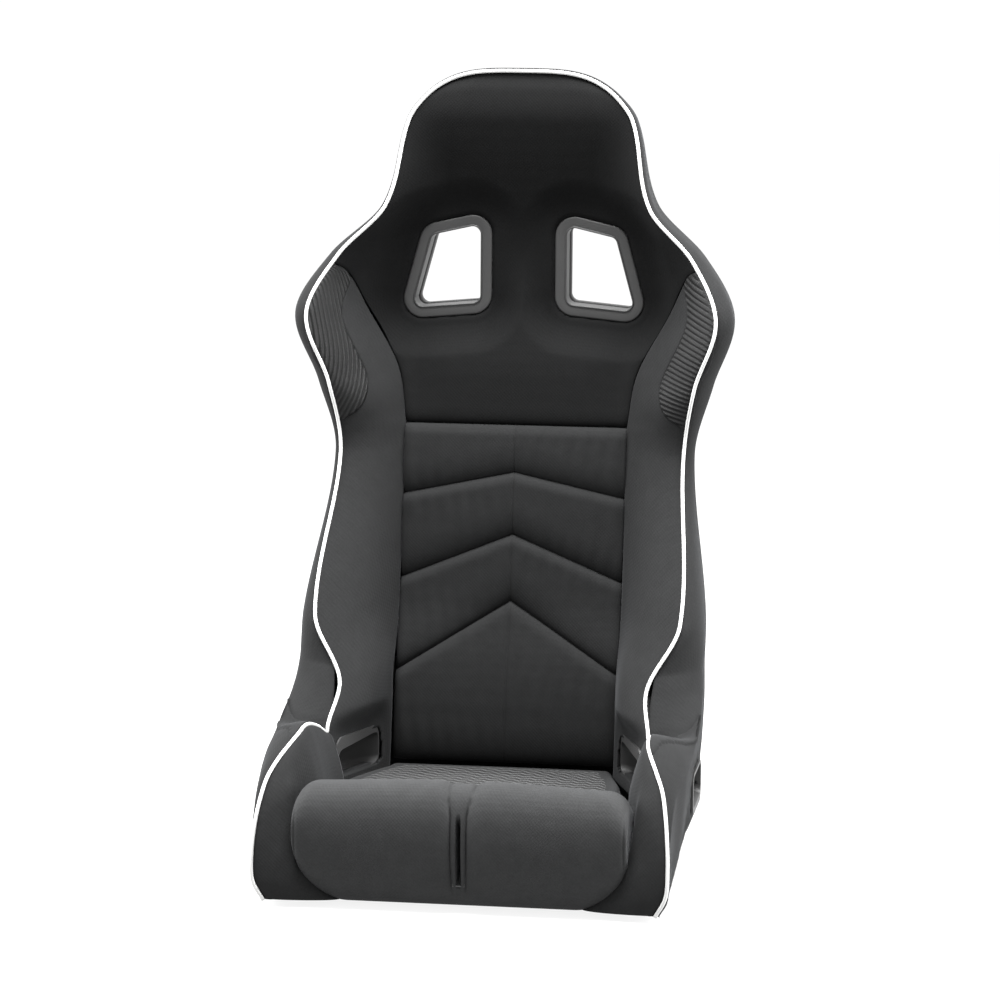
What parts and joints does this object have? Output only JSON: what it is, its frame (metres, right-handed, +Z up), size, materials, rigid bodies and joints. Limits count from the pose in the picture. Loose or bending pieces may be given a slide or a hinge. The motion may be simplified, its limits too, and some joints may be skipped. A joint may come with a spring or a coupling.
{
  "type": "racing seat",
  "caption": "Fixed-back bucket racing seat with harness windows, lap belt slots, thigh roll, winged bolsters and a lift-out cushion on a tubular steel frame.",
  "frame": {"origin": "centre of the four floor bolts, on the underside of the mounting bosses", "axes": "+Z up; the seat faces -Y; +X across the seat, to the sitter's left"},
  "size_m": [0.5424, 0.5816, 0.9432],
  "materials": {
    "centre_fabric": "fine black woven cloth, matt",
    "bolster_fabric": "black microfibre cloth with a soft sheen",
    "cover_fabric": "black microfibre cloth",
    "mesh_fabric": "grey and black zigzag spacer mesh",
    "ribbed_vinyl": "dark grey vinyl with a fine twill rib",
    "white_piping": "white vinyl welt, satin",
    "bezel_plastic": "moulded dark grey plastic, fine grain",
    "frame_paint": "black powder coat",
    "zinc_steel": "zinc plated",
    "spring_steel": "oiled spring steel",
    "webbing": "elastic webbing",
    "hook_loop": "hook and loop tape",
    "lining_cloth": "non-woven lining cloth"
  },
  "bodies": {
    "frame": {"back_piping": "white_piping", "back_straps": "webbing", "base_bolster_left": "bolster_fabric", "base_bolster_right": "bolster_fabric", "base_piping_left": "white_piping", "base_piping_right": "white_piping", "base_side_panel_left": "cover_fabric", "base_side_panel_right": "cover_fabric", "base_tube_left": "frame_paint", "base_tube_right": "frame_paint", "bezel_screws": "zinc_steel", "chevron_pad": "centre_fabric", "deck_cloth": "lining_cloth", "front_cross_tube": "frame_paint", "front_pan": "frame_paint", "head_hoop": "frame_paint", "head_pad": "centre_fabric", "hook_tapes": "hook_loop", "inner_lap_bezel_left": "bezel_plastic", "inner_lap_bezel_right": "bezel_plastic", "lumbar_cross_tube": "frame_paint", "mount_bosses": "zinc_steel", "mount_rail_left": "frame_paint", "mount_rail_right": "frame_paint", "neck_cross_tube": "frame_paint", "outer_lap_bezel_left": "bezel_plastic", "outer_lap_bezel_right": "bezel_plastic", "rear_cover": "cover_fabric", "rear_cross_tube": "frame_paint", "rear_window_bezel_left": "bezel_plastic", "rear_window_bezel_right": "bezel_plastic", "seat_springs": "spring_steel", "shoulder_cross_tube": "frame_paint", "side_bolster_left": "bolster_fabric", "side_bolster_right": "bolster_fabric", "side_panel_left": "cover_fabric", "side_panel_right": "cover_fabric", "side_tube_left": "frame_paint", "side_tube_right": "frame_paint", "spring_clips": "zinc_steel", "strap_hooks": "zinc_steel", "strap_slot_liner": "bezel_plastic", "thigh_roll": "bolster_fabric", "underside_cover": "lining_cloth", "window_bezel_left": "bezel_plastic", "window_bezel_right": "bezel_plastic", "wing_patch_left": "ribbed_vinyl", "wing_patch_right": "ribbed_vinyl", "wing_tube_left": "frame_paint", "wing_tube_right": "frame_paint"},
    "cushion": {"seat_cushion": "mesh_fabric", "loop_tapes": "hook_loop"}
  },
  "joints": [
    {"name": "cushion_lift", "type": "slide", "parent": "frame", "child": "cushion", "axis": [0, 0, 1], "range_m": [0, 0.1]}
  ]
}
